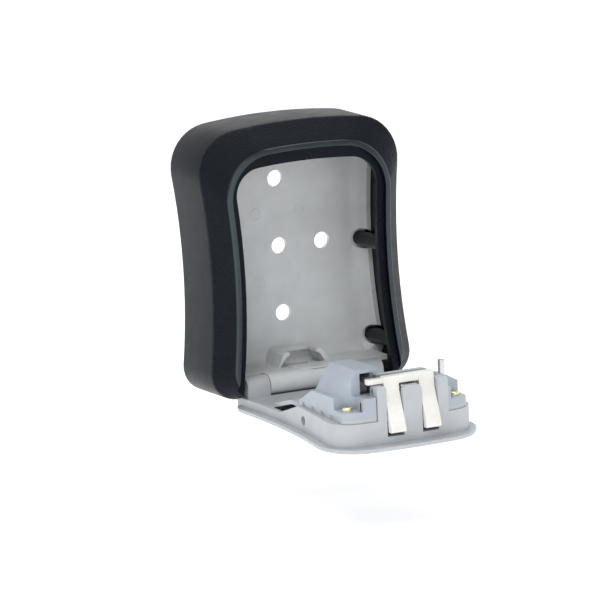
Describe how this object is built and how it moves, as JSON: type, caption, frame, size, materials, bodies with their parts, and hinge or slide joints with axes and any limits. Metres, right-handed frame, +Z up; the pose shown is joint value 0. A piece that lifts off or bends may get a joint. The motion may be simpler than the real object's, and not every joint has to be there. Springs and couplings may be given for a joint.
{
  "type": "key lock box",
  "caption": "Wall-mounted key safe with a bowed black case, a drop-down lid hinged along the bottom, combination wheels and a pivoting latch fork; shown open.",
  "frame": {"origin": "centre of the middle fixing hole on the back face", "axes": "+X to the right seen from the front, -Y out of the wall towards the user, +Z up; the lid is at rest hanging open"},
  "size_m": [0.0938, 0.1257, 0.1274],
  "materials": {
    "black_case": "satin black with textured front bevel",
    "grey_casting": "satin grey paint on die-cast zinc",
    "lid_grey": "pale grey paint on die-cast zinc",
    "cover_grey": "moulded bluish grey",
    "bright_steel": "zinc plated",
    "yellow_zinc": "yellow zinc plated steel",
    "latch_nickel": "pale satin nickel",
    "spring_steel": "spring wire",
    "sleeve_brass": "turned",
    "black_plastic": "fine texture"
  },
  "bodies": {
    "case": {"back_plate": "grey_casting", "front_shell": "black_case", "shell_screws": "bright_steel", "hinge_pin": "bright_steel"},
    "lid": {"lid_housing": "lid_grey", "lid_fascia": "lid_grey", "fascia_screws": "bright_steel", "mechanism_plate": "lid_grey", "mechanism_cover": "cover_grey", "cover_screws": "yellow_zinc", "wheel_axle": "bright_steel", "axle_clips": "spring_steel", "detent_spring": "spring_steel", "latch_pin": "bright_steel", "latch_spring": "spring_steel", "return_spring": "spring_steel"},
    "latch": {"latch_fork": "latch_nickel"},
    "release": {"lock_plate": "bright_steel", "release_button": "black_plastic", "button_screw": "bright_steel"},
    "reset": {"reset_lever": "bright_steel"},
    "shutter": {"dial_shutter": "black_plastic"},
    "wheel_1": {"number_wheel_1": "black_plastic", "wheel_sleeve_1": "sleeve_brass"},
    "wheel_2": {"number_wheel_2": "black_plastic", "wheel_sleeve_2": "sleeve_brass"},
    "wheel_3": {"number_wheel_3": "black_plastic", "wheel_sleeve_3": "sleeve_brass"},
    "wheel_4": {"number_wheel_4": "black_plastic", "wheel_sleeve_4": "sleeve_brass"}
  },
  "joints": [
    {"name": "lid_hinge", "type": "hinge", "parent": "case", "child": "lid", "pos_m": [0, -0.028, -0.0536], "axis": [-1, 0, 0], "range_deg": [0, 93]},
    {"name": "wheel_1_spin", "type": "hinge", "parent": "lid", "child": "wheel_1", "pos_m": [-0.013, -0.08337, -0.05941], "axis": [1, 0, 0], "continuous": true},
    {"name": "wheel_2_spin", "type": "hinge", "parent": "lid", "child": "wheel_2", "pos_m": [-0.005, -0.08337, -0.05941], "axis": [1, 0, 0], "continuous": true},
    {"name": "wheel_3_spin", "type": "hinge", "parent": "lid", "child": "wheel_3", "pos_m": [0.003, -0.08337, -0.05941], "axis": [1, 0, 0], "continuous": true},
    {"name": "wheel_4_spin", "type": "hinge", "parent": "lid", "child": "wheel_4", "pos_m": [0.011, -0.08337, -0.05941], "axis": [1, 0, 0], "continuous": true},
    {"name": "latch_pivot", "type": "hinge", "parent": "lid", "child": "latch", "pos_m": [0, -0.1168, -0.04453], "axis": [1, 0, 0], "range_deg": [0, 12]},
    {"name": "release_slide", "type": "slide", "parent": "lid", "child": "release", "axis": [0, -0.9986, -0.0523], "range_m": [0, 0.0024], "stiffness_N_per_m": 400},
    {"name": "reset_slide", "type": "slide", "parent": "lid", "child": "reset", "axis": [1, 0, 0], "range_m": [0, 0.003]},
    {"name": "shutter_slide", "type": "slide", "parent": "lid", "child": "shutter", "axis": [0, -0.9986, -0.0523], "range_m": [0, 0.018]}
  ],
  "couplings": [
    {"joint": "latch_pivot", "follows": "release_slide", "rad_per_m": 87.266}
  ]
}
